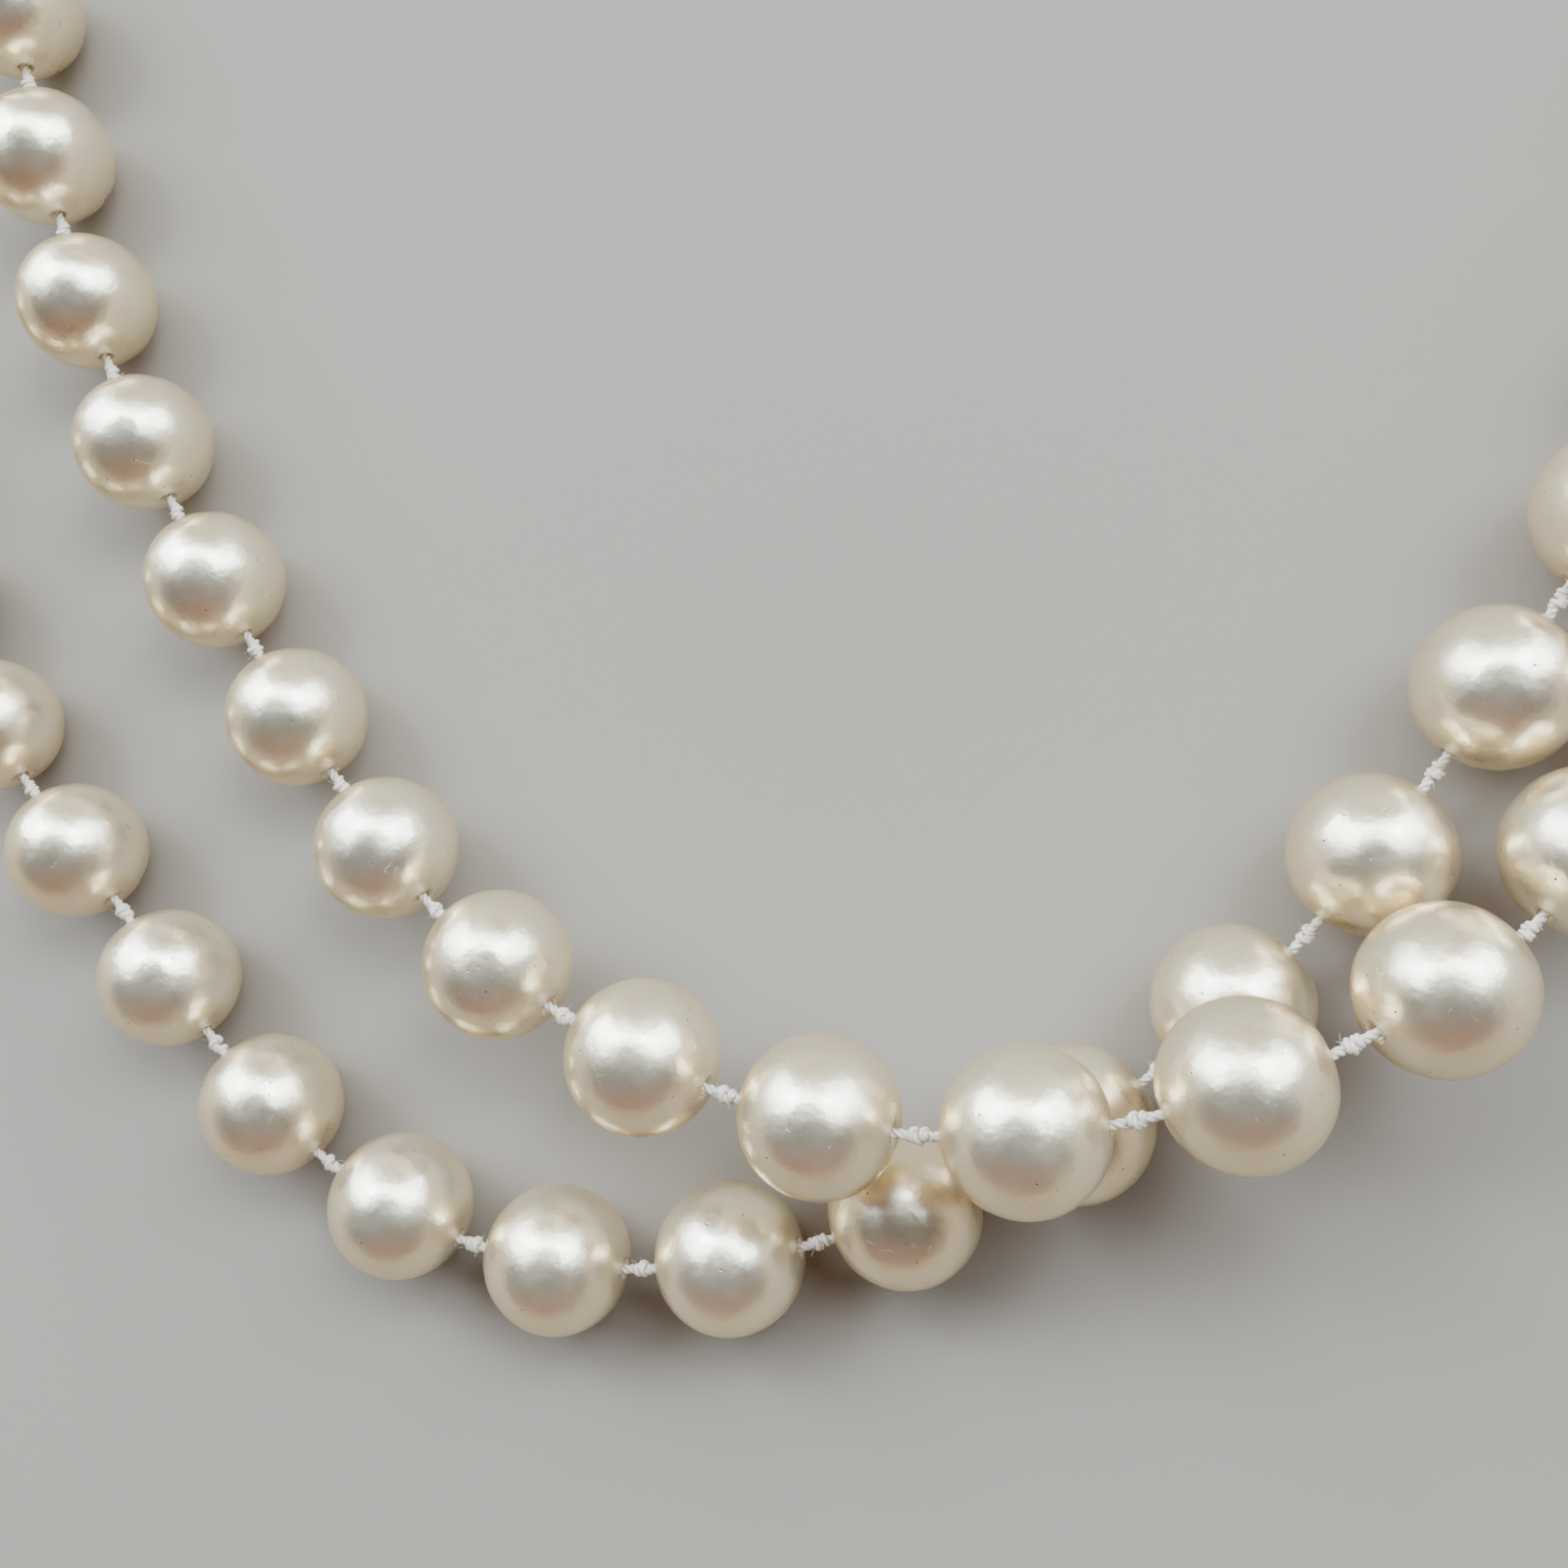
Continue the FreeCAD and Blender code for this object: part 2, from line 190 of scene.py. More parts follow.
# Light
LAMP_DISTANCE = 0.9
PANES = (                      # degrees clockwise from the back, degrees up, size, watts
    ("pane_left", -52, 36, (0.50, 0.78), 14.5),
    ("pane_right", 54, 36, (0.50, 0.78), 14.5),
    ("pane_top", 2, 55, (1.1, 0.22), 11.5),
)
DAYLIGHT = (0.62, 0.79, 1.03)
ROOM_PALE = (0.90, 0.79, 0.63)
ROOM_TAN = (0.31, 0.135, 0.072)
ROOM_DARK = (0.050, 0.024, 0.008)
ROOM_STRENGTH = 0.9
ROOM_SQUEEZE = (0.55, 1.0, 1.0)        # makes the dark patch wider than it is deep
DARK_WAY = (0.0, -0.47, 0.88)          # towards the middle of the dark patch
DARK_EDGE = (0.50, 0.76)               # cosines where the dark patch begins and is full
TAN_EDGE = (-0.35, -0.85)              # how far to the front the dark turns tan

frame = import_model()
cad_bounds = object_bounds()


# ---------------------------------------------------------------- reading the frame

def island_points(node):
    """The separate solids of a CAD node, each as (its vertices, its edges as point pairs)."""
    work = bmesh.new()
    work.from_mesh(frame["nodes"][node].data)
    bmesh.ops.remove_doubles(work, verts=work.verts, dist=1e-7)
    unseen = set(work.verts)
    islands = []
    while unseen:
        stack = [unseen.pop()]
        members = []
        while stack:
            vert = stack.pop()
            members.append(vert)
            for edge in vert.link_edges:
                other = edge.other_vert(vert)
                if other in unseen:
                    unseen.remove(other)
                    stack.append(other)
        points = [vert.co.copy() for vert in members]
        edges = {edge for vert in members for edge in vert.link_edges}
        pairs = [(edge.verts[0].co.copy(), edge.verts[1].co.copy()) for edge in edges]
        islands.append((points, pairs))
    work.free()
    return islands


def middle_of(points):
    """Middle of the points' box."""
    low = Vector([min(point[axis] for point in points) for axis in range(3)])
    high = Vector([max(point[axis] for point in points) for axis in range(3)])
    return (low + high) / 2


def bore_direction(pairs):
    """Direction of a pearl's bore: the mean of the long edges that run through it."""
    total = Vector()
    for start, end in pairs:
        along = end - start
        if along.length > PEARL_RADIUS:
            total += along if along.dot(total) >= 0 else -along
    return total.normalized()


class Pearl:
    """One pearl of the frame: its node, its body, its middle and its bore's direction."""

    def __init__(self, node, points, pairs):
        self.node = node
        self.body = frame["nodes"][node]["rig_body"]
        self.middle = middle_of(points)
        self.bore = bore_direction(pairs)

    def mouths(self):
        """Both ends of the bore, each with its pearl."""
        return [(self, self.middle + self.bore * side * PEARL_RADIUS) for side in (-1, 1)]


def thread_nodes(body):
    """The frame's thread nodes on one body."""
    return [node for node, piece in frame["nodes"].items()
            if "_thread" in node and piece["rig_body"] == body]


def read_pearls():
    """Every pearl in the frame, in a fixed order."""
    found = []
    for node in sorted(frame["nodes"]):
        if "_pearl" in node:
            found += [Pearl(node, points, pairs) for points, pairs in island_points(node)]
    found.sort(key=lambda pearl: (pearl.node, round(pearl.middle.x, 4), round(pearl.middle.y, 4)))
    return found


def read_gaps(pearls):
    """Pairs of facing bore mouths with a knot between them, and the mouths that face the clasp."""
    mouths = [mouth for pearl in pearls for mouth in pearl.mouths()]
    gaps = []
    ends = []
    for index, (pearl, point) in enumerate(mouths):
        others = [(other, far) for other, far in mouths if other is not pearl]
        other, far = min(others, key=lambda mouth: (mouth[1] - point).length)
        if (far - point).length > NEAREST_MOUTHS:
            ends.append((pearl, point))
        elif pearls.index(pearl) < pearls.index(other):
            gaps.append(((pearl, point), (other, far)))
    return gaps, ends


# ---------------------------------------------------------------- mesh helpers

def new_object(name, mesh, material):
    """Links a finished mesh with smooth shading and one material."""
    piece = bpy.data.objects.new(name, mesh)
    bpy.context.scene.collection.objects.link(piece)
    mesh.materials.append(material)
    mesh.polygons.foreach_set("use_smooth", [True] * len(mesh.polygons))
    return piece


def side_vectors(along):
    """Two unit vectors square to a direction and to each other."""
    side = along.cross(Vector((0, 0, 1)))
    if side.length < 1e-3:
        side = along.cross(Vector((1, 0, 0)))
    side.normalize()
    return side, along.cross(side).normalized()


def pearl_radius(direction, polar, seed):
    """Distance of the surface from the pearl's middle, with its waver and its drill dimples."""
    offset = Vector([seed * step for step in WAVER_STEPS])
    broad = noise.noise(direction * BROAD_WAVER + offset)
    waver = broad + FINE_SHARE * noise.noise(direction * FINE_WAVER - offset)
    from_pole = min(polar, math.pi - polar)
    dimple = math.exp(-(from_pole / DIMPLE_WIDTH) ** 2)
    return PEARL_RADIUS + WAVER * (waver - WAVER_SHIFT) - DIMPLE_DEPTH * dimple


def add_pearl(mesh_data, pearl, seed):
    """Adds one pearl, a closed skin with its bore, to the lists of a joined mesh."""
    verts, faces, places, tones, mouths = mesh_data
    side, up = side_vectors(pearl.bore)
    first = len(verts)
    mouth_angle = math.asin(BORE_RADIUS / PEARL_RADIUS)
    sweep = math.pi - 2 * mouth_angle
    polars = [math.pi - mouth_angle - sweep * ring / PEARL_RINGS for ring in range(PEARL_RINGS + 1)]
    outside = [(polar, None) for polar in polars]
    profile = [(None, -BORE_RING_PLACE)] + outside + [(None, BORE_RING_PLACE)]
    tone = random.Random(seed).random()
    shift = Vector([seed * step for step in NACRE_STEPS])
    for polar, depth in profile:
        for segment in range(PEARL_SEGMENTS):
            turn = 2 * math.pi * segment / PEARL_SEGMENTS
            round_axis = side * math.cos(turn) + up * math.sin(turn)
            if polar is None:
                offset = pearl.bore * depth + round_axis * BORE_RADIUS
                direction = offset.normalized()
            else:
                direction = pearl.bore * math.cos(polar) + round_axis * math.sin(polar)
                offset = direction * pearl_radius(direction, polar, seed)
            local = Vector((direction.dot(side), direction.dot(up), direction.dot(pearl.bore)))
            verts.append(pearl.middle + offset)
            places.append(local + shift)
            tones.append(tone)
            mouths.append(math.exp(-((1 - abs(local.z)) / MOUTH_WEAR) ** 2))
    for row in range(len(profile)):
        a = first + row * PEARL_SEGMENTS
        b = first + (row + 1) % len(profile) * PEARL_SEGMENTS
        for segment in range(PEARL_SEGMENTS):
            following = (segment + 1) % PEARL_SEGMENTS
            faces.append((a + segment, a + following, b + following, b + segment))


def build_pearls(pearls, material):
    """One coated piece for each pearl node of the frame."""
    nodes = sorted({pearl.node for pearl in pearls})
    seed = 0
    for node in nodes:
        mesh_data = ([], [], [], [], [])
        members = [pearl for pearl in pearls if pearl.node == node]
        for pearl in members:
            seed += 1
            add_pearl(mesh_data, pearl, seed)
        verts, faces, places, tones, mouths = mesh_data
        mesh = bpy.data.meshes.new(node + "_coated")
        mesh.from_pydata(verts, [], faces)
        place = mesh.attributes.new("nacre_place", "FLOAT_VECTOR", "POINT")
        place.data.foreach_set("vector", [value for point in places for value in point])
        tone = mesh.attributes.new("nacre_tone", "FLOAT", "POINT")
        tone.data.foreach_set("value", tones)
        mouth = mesh.attributes.new("nacre_mouth", "FLOAT", "POINT")
        mouth.data.foreach_set("value", mouths)
        piece = new_object(node + "_coated", mesh, material)
        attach(piece, members[0].body)
        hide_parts(node)


# ---------------------------------------------------------------- silk

def sweep_plies(mesh_data, path, twist_start):
    """Adds the twisted plies of a thread along a path of points."""
    verts, faces = mesh_data
    along = (path[1] - path[0]).normalized()
    side, up = side_vectors(along)
    travelled = 0.0
    frames = []
    for index, point in enumerate(path):
        ahead = path[min(index + 1, len(path) - 1)] - path[max(index - 1, 0)]
        tangent = ahead.normalized()
        side = (side - tangent * side.dot(tangent)).normalized()
        up = tangent.cross(side)
        if index:
            travelled += (point - path[index - 1]).length
        frames.append((point, side, up, travelled))
    for ply in range(PLY_COUNT):
        first = len(verts)
        for point, side, up, travelled in frames:
            turn = 2 * math.pi * (travelled / PLY_PITCH + ply / PLY_COUNT) + twist_start
            centre = point + (side * math.cos(turn) + up * math.sin(turn)) * PLY_OFFSET
            for corner in range(PLY_SIDES):
                angle = 2 * math.pi * corner / PLY_SIDES
                verts.append(centre + (side * math.cos(angle) + up * math.sin(angle)) * PLY_RADIUS)
        for row in range(len(frames) - 1):
            for corner in range(PLY_SIDES):
                following = (corner + 1) % PLY_SIDES
                a = first + row * PLY_SIDES
                b = a + PLY_SIDES
                faces.append((a + corner, a + following, b + following, b + corner))


def straight_path(start, end, step_length=THREAD_STEP):
    """Points along a straight stretch."""
    count = max(3, round((end - start).length / step_length))
    return [start.lerp(end, step / count) for step in range(count + 1)]


def knot_path(start, centre, end, dice, swelling=1.0):
    """Points of a coil that looks like an overhand knot, with the thread straight on each side."""
    along = (end - start).normalized()
    side, up = side_vectors(along)
    coil = KNOT_COIL_RADIUS * swelling * dice.uniform(*KNOT_COIL_SPREAD)
    half_width = KNOT_HALF_WIDTH * swelling * dice.uniform(*KNOT_WIDTH_SPREAD)
    turns = dice.uniform(*KNOT_TURNS)
    first_turn = dice.uniform(0, 2 * math.pi)
    lean = dice.uniform(*KNOT_LEAN)
    points = []
    steps = round(KNOT_STEPS * turns)
    for step in range(steps + 1):
        share = step / steps
        turn = 2 * math.pi * turns * share + first_turn
        swell = math.sin(math.pi * share) ** 0.5
        place = half_width * (2 * share - 1) + coil * lean * swell * math.sin(turn)
        radial = side * math.cos(turn) + up * math.sin(turn)
        points.append(centre + along * place + radial * coil * swell)
    return straight_path(start, points[0])[:-1] + points + straight_path(points[-1], end)[1:]


def add_fuzz(mesh_data, centre, along, dice):
    """Adds a few loose fibres that stand off a knot."""
    verts, faces = mesh_data
    side, up = side_vectors(along)
    sides = len(FUZZ_CORNERS)
    for _ in range(FUZZ_COUNT):
        turn = dice.uniform(0, 2 * math.pi)
        outward = side * math.cos(turn) + up * math.sin(turn)
        shift = dice.uniform(-FUZZ_SPREAD, FUZZ_SPREAD)
        point = centre + outward * KNOT_COIL_RADIUS + along * shift
        rise = outward * dice.uniform(*FUZZ_RISE)
        heading = (rise + along * dice.uniform(*FUZZ_SLANT)).normalized()
        bend = Vector([dice.uniform(-1, 1) for _ in range(3)]) * FUZZ_BEND
        first = len(verts)
        for _ in range(FUZZ_STEPS + 1):
            across, over = side_vectors(heading)
            verts += [point + (across * math.cos(angle) + over * math.sin(angle)) * FUZZ_RADIUS
                      for angle in FUZZ_CORNERS]
            step_length = FUZZ_LENGTH * dice.uniform(*FUZZ_LENGTH_SPREAD) / FUZZ_STEPS
            point = point + heading * step_length
            heading = (heading + bend / FUZZ_STEPS).normalized()
        for step in range(FUZZ_STEPS):
            for corner in range(sides):
                a = first + step * sides + corner
                b = first + step * sides + (corner + 1) % sides
                faces.append((a, b, b + sides, a + sides))


def knot_body(centre, bodies):
    """The body whose frame thread holds the ball of the knot at a point."""
    def near(body):
        threads = [frame["nodes"][node].data for node in thread_nodes(body)]
        return sum((vert.co - centre).length < FRAME_KNOT_REACH
                   for thread in threads for vert in thread.vertices)
    return max(bodies, key=near)


def add_hidden_thread(by_body, pearl):
    """Thread inside one pearl's bore."""
    half_bore = pearl.bore * (PEARL_RADIUS - TUCK)
    path = straight_path(pearl.middle - half_bore, pearl.middle + half_bore, HIDDEN_STEP)
    sweep_plies(by_body[pearl.body], path, 0.0)


def add_gap(by_body, number, gap):
    """Thread and knot between two pearls. At a fold, half the thread stays on the other body."""
    (pearl, point), (other, far) = gap
    dice = random.Random(number)
    along = (far - point).normalized()
    centre = (point + far) / 2
    start, end = point - along * TUCK, far + along * TUCK
    body = pearl.body
    if pearl.body != other.body:
        body = knot_body(centre, (pearl.body, other.body))
        if body == other.body:
            start, end = end, start
        loose_body = other.body if body == pearl.body else pearl.body
        sweep_plies(by_body[loose_body], straight_path(centre, end), dice.random())
        end = centre + (end - start).normalized() * KNOT_TAIL
    sweep_plies(by_body[body], knot_path(start, centre, end, dice), dice.random())
    add_fuzz(by_body[body], centre, along, dice)


def add_end(by_body, number, mouth, tips):
    """Thread from an end pearl to the clasp: a knot at the pearl and one in the bead tip."""
    pearl, point = mouth
    mesh_data = by_body[pearl.body]
    dice = random.Random(CUP_SEED + number)
    tip = min(tips, key=lambda middle: (middle - point).length)
    along = (tip - point).normalized()
    first_knot = point + along * END_KNOT_PLACE
    last_knot = point + along * CUP_KNOT_PLACE
    ball = along * KNOT_HALF_WIDTH
    path = knot_path(point - along * TUCK, first_knot, last_knot, dice)
    sweep_plies(mesh_data, path, dice.random())
    path = knot_path(last_knot - ball, last_knot, last_knot + ball, dice, CUP_KNOT_SWELLING)
    sweep_plies(mesh_data, path, dice.random())
    add_fuzz(mesh_data, first_knot, along, dice)


def build_silk(pearls, gaps, ends, material):
    """Thread and knots, one piece for each body, in place of the frame's plain threads."""
    bodies = {piece["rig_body"] for node, piece in frame["nodes"].items() if "_thread" in node}
    by_body = {body: ([], []) for body in sorted(bodies)}
    boxes = [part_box(node) for node in frame["nodes"] if node.startswith("bead_tip")]
    tips = [(Vector(low) + Vector(high)) / 2 for low, high in boxes]
    for pearl in pearls:
        add_hidden_thread(by_body, pearl)
    for number, gap in enumerate(gaps):
        add_gap(by_body, number, gap)
    for number, mouth in enumerate(ends):
        add_end(by_body, number, mouth, tips)
    for body, (verts, faces) in by_body.items():
        mesh = bpy.data.meshes.new("silk_" + body)
        mesh.from_pydata(verts, [], faces)
        piece = new_object("silk_" + body, mesh, material)
        threads = thread_nodes(body)
        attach(piece, body)
        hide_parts(*threads)


# ---------------------------------------------------------------- materials

def new_material(name, **values):
    """Node material with a Principled shader and its uniform values."""
    material = bpy.data.materials.new(name)
    material.use_nodes = True
    shader = material.node_tree.nodes["Principled BSDF"]
    for socket, value in values.items():
        shader.inputs[socket.replace("_", " ")].default_value = value
    return material, material.node_tree, shader


def colour_between(tree, factor, low, high):
    """Colour that runs from low to high with a factor."""
    mix = tree.nodes.new("ShaderNodeMix")
    mix.data_type = "RGBA"
    tree.links.new(factor, mix.inputs["Factor"])
    for name, value in (("A", low), ("B", high)):
        if isinstance(value, tuple):
            mix.inputs[name].default_value = (*value, 1)
        else:
            tree.links.new(value, mix.inputs[name])
    return mix.outputs["Result"]


def value_between(tree, factor, from_low, from_high, to_low=0.0, to_high=1.0):
    """Value mapped from one range to another and kept inside it."""
    mapped = tree.nodes.new("ShaderNodeMapRange")
    tree.links.new(factor, mapped.inputs["Value"])
    mapped.inputs["From Min"].default_value = from_low
    mapped.inputs["From Max"].default_value = from_high
    mapped.inputs["To Min"].default_value = to_low
    mapped.inputs["To Max"].default_value = to_high
    return mapped.outputs["Result"]


def math_of(tree, operation, first, second):
    """One arithmetic step between sockets or numbers."""
    step = tree.nodes.new("ShaderNodeMath")
    step.operation = operation
    for socket, value in zip(step.inputs, (first, second)):
        if isinstance(value, (int, float)):
            socket.default_value = value
        else:
            tree.links.new(value, socket)
    return step.outputs["Value"]


def vector_step(tree, operation, value, other=None):
    """One vector step on a socket, with a fixed second vector if it needs one."""
    step = tree.nodes.new("ShaderNodeVectorMath")
    step.operation = operation
    tree.links.new(value, step.inputs[0])
    if other is not None:
        step.inputs[1].default_value = other
    return step.outputs


def noise_of(tree, place, scale, detail=2.0):
    """Soft noise over a place."""
    texture = tree.nodes.new("ShaderNodeTexNoise")
    texture.inputs["Scale"].default_value = scale
    texture.inputs["Detail"].default_value = detail
    tree.links.new(place, texture.inputs["Vector"])
    return texture.outputs["Fac"]


def attribute_of(tree, name, output):
    """Value stored on the mesh under a name."""
    reader = tree.nodes.new("ShaderNodeAttribute")
    reader.attribute_name = name
    return reader.outputs[output]


def bump_of(tree, height, depth, normal=None):
    """Surface relief from a height between 0 and 1."""
    bump = tree.nodes.new("ShaderNodeBump")
    bump.inputs["Distance"].default_value = depth
    tree.links.new(height, bump.inputs["Height"])
    if normal is not None:
        tree.links.new(normal, bump.inputs["Normal"])
    return bump.outputs["Normal"]


def share_of(tree, factor, share):
    """A factor from 0 to 1, made smaller."""
    return value_between(tree, factor, 0, 1, 0.0, share)


def speck_mask(tree, place):
    """Small pits: a few cells of a fine cell pattern, 1 in the middle of each."""
    cells = tree.nodes.new("ShaderNodeTexVoronoi")
    cells.inputs["Scale"].default_value = SPECK_SCALE
    tree.links.new(place, cells.inputs["Vector"])
    split = tree.nodes.new("ShaderNodeSeparateColor")
    tree.links.new(cells.outputs["Color"], split.inputs["Color"])
    chosen = math_of(tree, "GREATER_THAN", split.outputs["Red"], 1 - SPECK_SHARE)
    core = value_between(tree, cells.outputs["Distance"], *SPECK_EDGE, 1.0, 0.0)
    return math_of(tree, "MULTIPLY", chosen, core)


def scratch_mask(tree, place):
    """Hair-fine curved marks: contour lines of a slow noise, kept only here and there."""
    field = noise_of(tree, place, SCRATCH_SCALE, detail=3.0)
    off_line = math_of(tree, "ABSOLUTE", math_of(tree, "SUBTRACT", field, 0.5), 0.0)
    line = value_between(tree, off_line, *SCRATCH_LINE, 1.0, 0.0)
    patch = value_between(tree, noise_of(tree, place, scale=3.1), *SCRATCH_PATCH)
    return math_of(tree, "MULTIPLY", line, patch)


def nacre_material():
    """Pearl essence under clear lacquer: cream, slightly cloudy, with pits and fine marks."""
    material, tree, shader = new_material(
        "nacre",
        Metallic=NACRE_METALLIC,
        IOR=1.56,
        Subsurface_Weight=0.30,
        Subsurface_Scale=1.2 * MM,
        Subsurface_Radius=(1.0, 0.78, 0.48),
        Coat_Weight=0.7,
        Coat_Roughness=0.22,
        Coat_IOR=1.5,
        Specular_Tint=(0.97, 0.85, 0.58, 1),
    )
    links = tree.links
    place = attribute_of(tree, "nacre_place", "Vector")
    tone = attribute_of(tree, "nacre_tone", "Fac")
    mouth = attribute_of(tree, "nacre_mouth", "Fac")
    specks = speck_mask(tree, place)
    scratches = scratch_mask(tree, place)

    cloud = noise_of(tree, place, scale=1.7, detail=4.0)
    cloudy = colour_between(tree, cloud, NACRE_DEEP, NACRE_PALE)
    tinted = colour_between(tree, share_of(tree, tone, TONE_SHARE), cloudy, NACRE_WARM)
    worn = colour_between(tree, share_of(tree, mouth, WORN_SHARE), tinted, NACRE_MOUTH)
    faint = math_of(tree, "MULTIPLY", scratches, SCRATCH_SHARE)
    marked = colour_between(tree, faint, worn, SCRATCH_COLOUR)
    pitted = colour_between(tree, specks, marked, SPECK_COLOUR)
    links.new(pitted, shader.inputs["Base Color"])

    wear = noise_of(tree, place, scale=3.0, detail=3.0)
    polish = value_between(tree, wear, *NOISE_RANGE, *NACRE_POLISH)
    dulled = math_of(tree, "MULTIPLY", mouth, MOUTH_ROUGHNESS)
    links.new(math_of(tree, "ADD", polish, dulled), shader.inputs["Roughness"])

    ripple = bump_of(tree, noise_of(tree, place, scale=5.0, detail=2.5), RIPPLE_DEPTH)
    pucker = math_of(tree, "MULTIPLY", noise_of(tree, place, scale=16.0), mouth)
    puckered = bump_of(tree, pucker, PUCKER_DEPTH, ripple)
    grained = bump_of(tree, noise_of(tree, place, scale=60.0), GRAIN_DEPTH, puckered)
    shallow = math_of(tree, "MULTIPLY", scratches, SCRATCH_DEPTH)
    marks = math_of(tree, "SUBTRACT", 1.0, math_of(tree, "MAXIMUM", specks, shallow))
    relief = bump_of(tree, marks, MARK_DEPTH, grained)
    links.new(relief, shader.inputs["Normal"])
    links.new(relief, shader.inputs["Coat Normal"])
    return material


def silk_material():
    """Cream twisted silk with a fine fibre grain."""
    material, tree, shader = new_material(
        "silk", Roughness=0.45, Sheen_Weight=0.5, Sheen_Roughness=0.4,
        Subsurface_Weight=0.3, Subsurface_Scale=0.3 * MM)
    place = tree.nodes.new("ShaderNodeTexCoord").outputs["Object"]
    grain = noise_of(tree, place, scale=6000, detail=3.0)
    colour = colour_between(tree, grain, SILK_DEEP, SILK_PALE)
    tree.links.new(colour, shader.inputs["Base Color"])
    tree.links.new(bump_of(tree, grain, SILK_GRAIN_DEPTH), shader.inputs["Normal"])
    return material


def gold_material():
    """Gold-tone plating with a fine grain and a slightly uneven polish."""
    material, tree, shader = new_material("gold_tone", Metallic=1.0)
    place = tree.nodes.new("ShaderNodeTexCoord").outputs["Object"]
    cloud = noise_of(tree, place, scale=900, detail=3.0)
    colour = colour_between(tree, cloud, GOLD_DEEP, GOLD_PALE)
    tree.links.new(colour, shader.inputs["Base Color"])
    wear = noise_of(tree, place, scale=2500, detail=3.0)
    polish = value_between(tree, wear, *NOISE_RANGE, *GOLD_POLISH)
    tree.links.new(polish, shader.inputs["Roughness"])
    grain = noise_of(tree, place, scale=6000, detail=3.0)
    tree.links.new(bump_of(tree, grain, GOLD_GRAIN_DEPTH), shader.inputs["Normal"])
    return material


def steel_material():
    """Bare spring steel, finely brushed."""
    material, tree, shader = new_material("spring_steel", Metallic=1.0, Anisotropic=0.5)
    place = tree.nodes.new("ShaderNodeTexCoord").outputs["Object"]
    grain = noise_of(tree, place, scale=4000, detail=3.0)
    polish = value_between(tree, grain, *NOISE_RANGE, *STEEL_POLISH)
    tree.links.new(colour_between(tree, grain, STEEL_DEEP, STEEL_PALE), shader.inputs["Base Color"])
    tree.links.new(polish, shader.inputs["Roughness"])
    return material


def paint_clasp():
    """Gives the clasp's CAD pieces their metal."""
    gold = gold_material()
    steel = steel_material()
    for node, piece in frame["nodes"].items():
        if "pearl" not in node and "thread" not in node:
            for material_slot in piece.material_slots:
                material_slot.material = steel if node == "lever_spring" else gold


# ---------------------------------------------------------------- studio

def floor_material():
    """Plain matt floor with painted light: it turns paler far away, where the lamps don't reach."""
    material, tree, shader = new_material("floor", Roughness=0.9)
    place = tree.nodes.new("ShaderNodeTexCoord").outputs["Object"]
    reach = vector_step(tree, "LENGTH", place)["Value"]
    # painted light: the colour pales with distance, in place of lamp light that doesn't reach
    far = value_between(tree, reach, FLOOR_NEAR, FLOOR_FAR)
    colour = colour_between(tree, far, FLOOR_COLOUR, FLOOR_PAINTED_LIGHT_COLOUR)
    tree.links.new(colour, shader.inputs["Base Color"])
    return material


def build_floor():
    """Plain pale floor under the necklace."""
    mesh = bpy.data.meshes.new("floor")
    reach = FLOOR_REACH
    corners = [(-reach, -reach, 0), (reach, -reach, 0), (reach, reach, 0), (-reach, reach, 0)]
    mesh.from_pydata(corners, [], [(0, 1, 2, 3)])
    floor = new_object("floor", mesh, floor_material())
    floor.location.z = cad_bounds[0][2] - FLOOR_DROP


def build_camera():
    """Camera close above the front of the necklace, with its top edge towards the back."""
    low, high = cad_bounds
    middle = (low[0] + high[0]) / 2
    target = Vector((middle + CAMERA_AIM_RIGHT, low[1] + CAMERA_AIM_BACK, PEARL_RADIUS))
    tilt_right = math.radians(CAMERA_FROM_RIGHT)
    tilt_front = math.radians(CAMERA_FROM_FRONT)
    away = Vector((math.tan(tilt_right), -math.tan(tilt_front), 1)).normalized()
    data = bpy.data.cameras.new("camera")
    data.lens = CAMERA_LENS
    data.sensor_width = CAMERA_SENSOR
    data.clip_start = 5 * MM
    camera = bpy.data.objects.new("camera", data)
    bpy.context.scene.collection.objects.link(camera)
    right = Vector((0, 1, 0)).cross(away).normalized()
    up = away.cross(right)
    axes = Matrix((right, up, away)).transposed().to_4x4()
    camera.matrix_world = Matrix.Translation(target + away * CAMERA_DISTANCE) @ axes
    bpy.context.scene.camera = camera


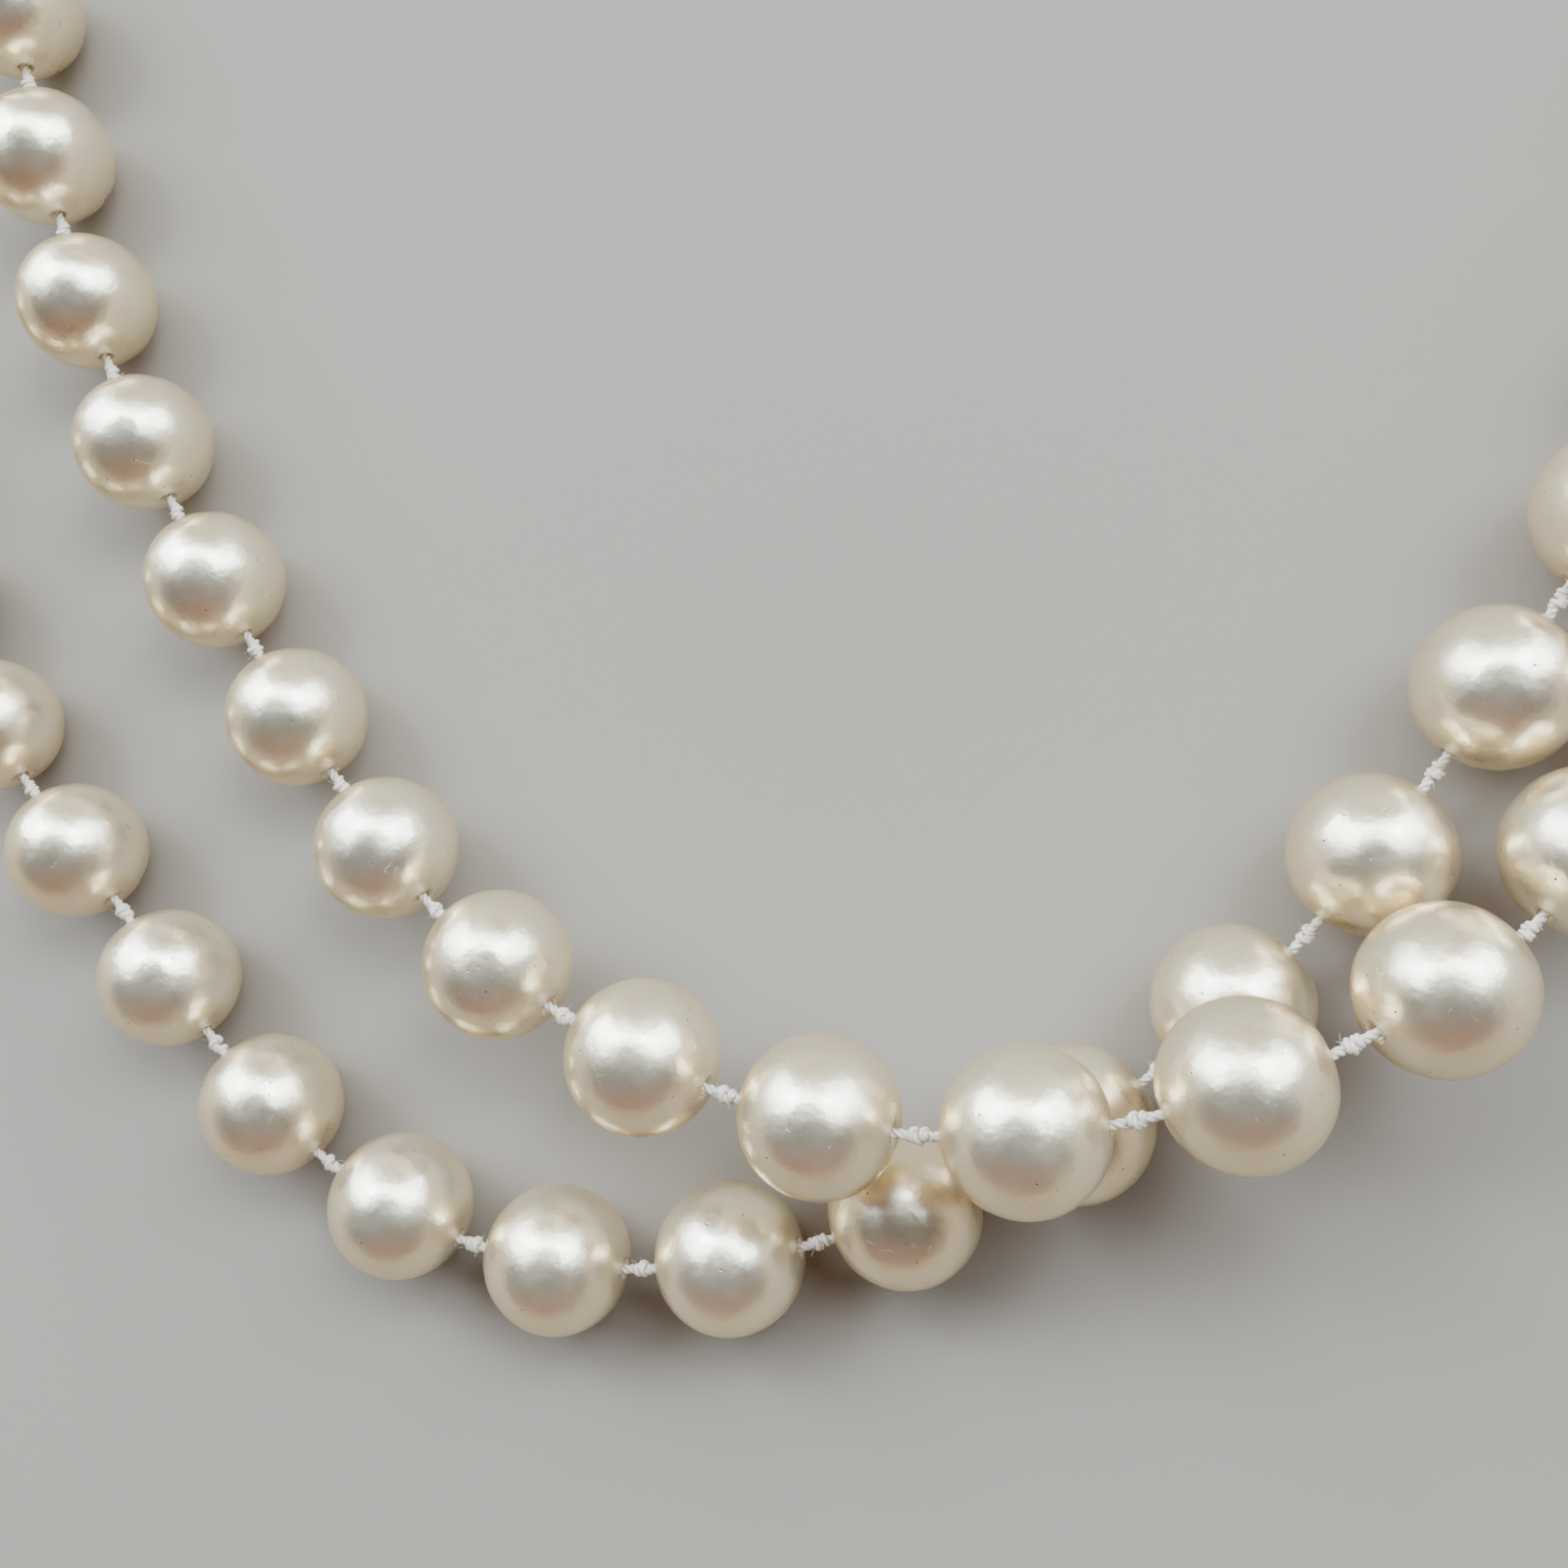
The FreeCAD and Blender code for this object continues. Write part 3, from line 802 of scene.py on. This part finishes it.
def softbox(front, name, turn, height, size, power):
    """Soft rectangular lamp on a dome round the front of the necklace, aimed at it."""
    turn, height = math.radians(turn), math.radians(height)
    level = Vector((math.sin(turn), math.cos(turn), 0)) * math.cos(height)
    way = level + Vector((0, 0, math.sin(height)))
    data = bpy.data.lights.new(name, "AREA")
    data.shape = "RECTANGLE"
    data.size, data.size_y = size
    data.energy = power
    data.color = DAYLIGHT
    lamp = bpy.data.objects.new(name, data)
    bpy.context.scene.collection.objects.link(lamp)
    lamp.location = front + way * LAMP_DISTANCE
    lamp.rotation_euler = (-way).to_track_quat("-Z", "Y").to_euler()


def room_colour(tree):
    """Pale room with a dark patch overhead that turns tan towards the front."""
    way = tree.nodes.new("ShaderNodeTexCoord").outputs["Generated"]
    narrowed = vector_step(tree, "MULTIPLY", way, ROOM_SQUEEZE)["Vector"]
    levelled = vector_step(tree, "NORMALIZE", narrowed)["Vector"]
    dark_way = Vector(DARK_WAY).normalized()
    towards = vector_step(tree, "DOT_PRODUCT", levelled, dark_way)["Value"]
    shade = value_between(tree, towards, *DARK_EDGE)
    split = tree.nodes.new("ShaderNodeSeparateXYZ")
    tree.links.new(way, split.inputs["Vector"])
    tinge = value_between(tree, split.outputs["Y"], *TAN_EDGE)
    patch = colour_between(tree, tinge, ROOM_DARK, ROOM_TAN)
    return colour_between(tree, shade, ROOM_PALE, patch)


def build_lights():
    """Window light from the back in three panes, in a room that is dark overhead."""
    low, high = cad_bounds
    front = Vector(((low[0] + high[0]) / 2, low[1] + CAMERA_AIM_BACK, 0))
    for pane in PANES:
        softbox(front, *pane)
    world = bpy.data.worlds.new("studio")
    bpy.context.scene.world = world
    world.use_nodes = True
    background = world.node_tree.nodes["Background"]
    world.node_tree.links.new(room_colour(world.node_tree), background.inputs["Color"])
    background.inputs["Strength"].default_value = ROOM_STRENGTH


# ---------------------------------------------------------------- the scene

def main():
    """Builds every piece in turn."""
    pearls = read_pearls()
    gaps, ends = read_gaps(pearls)
    build_pearls(pearls, nacre_material())
    build_silk(pearls, gaps, ends, silk_material())
    paint_clasp()
    build_floor()
    build_lights()
    build_camera()


main()
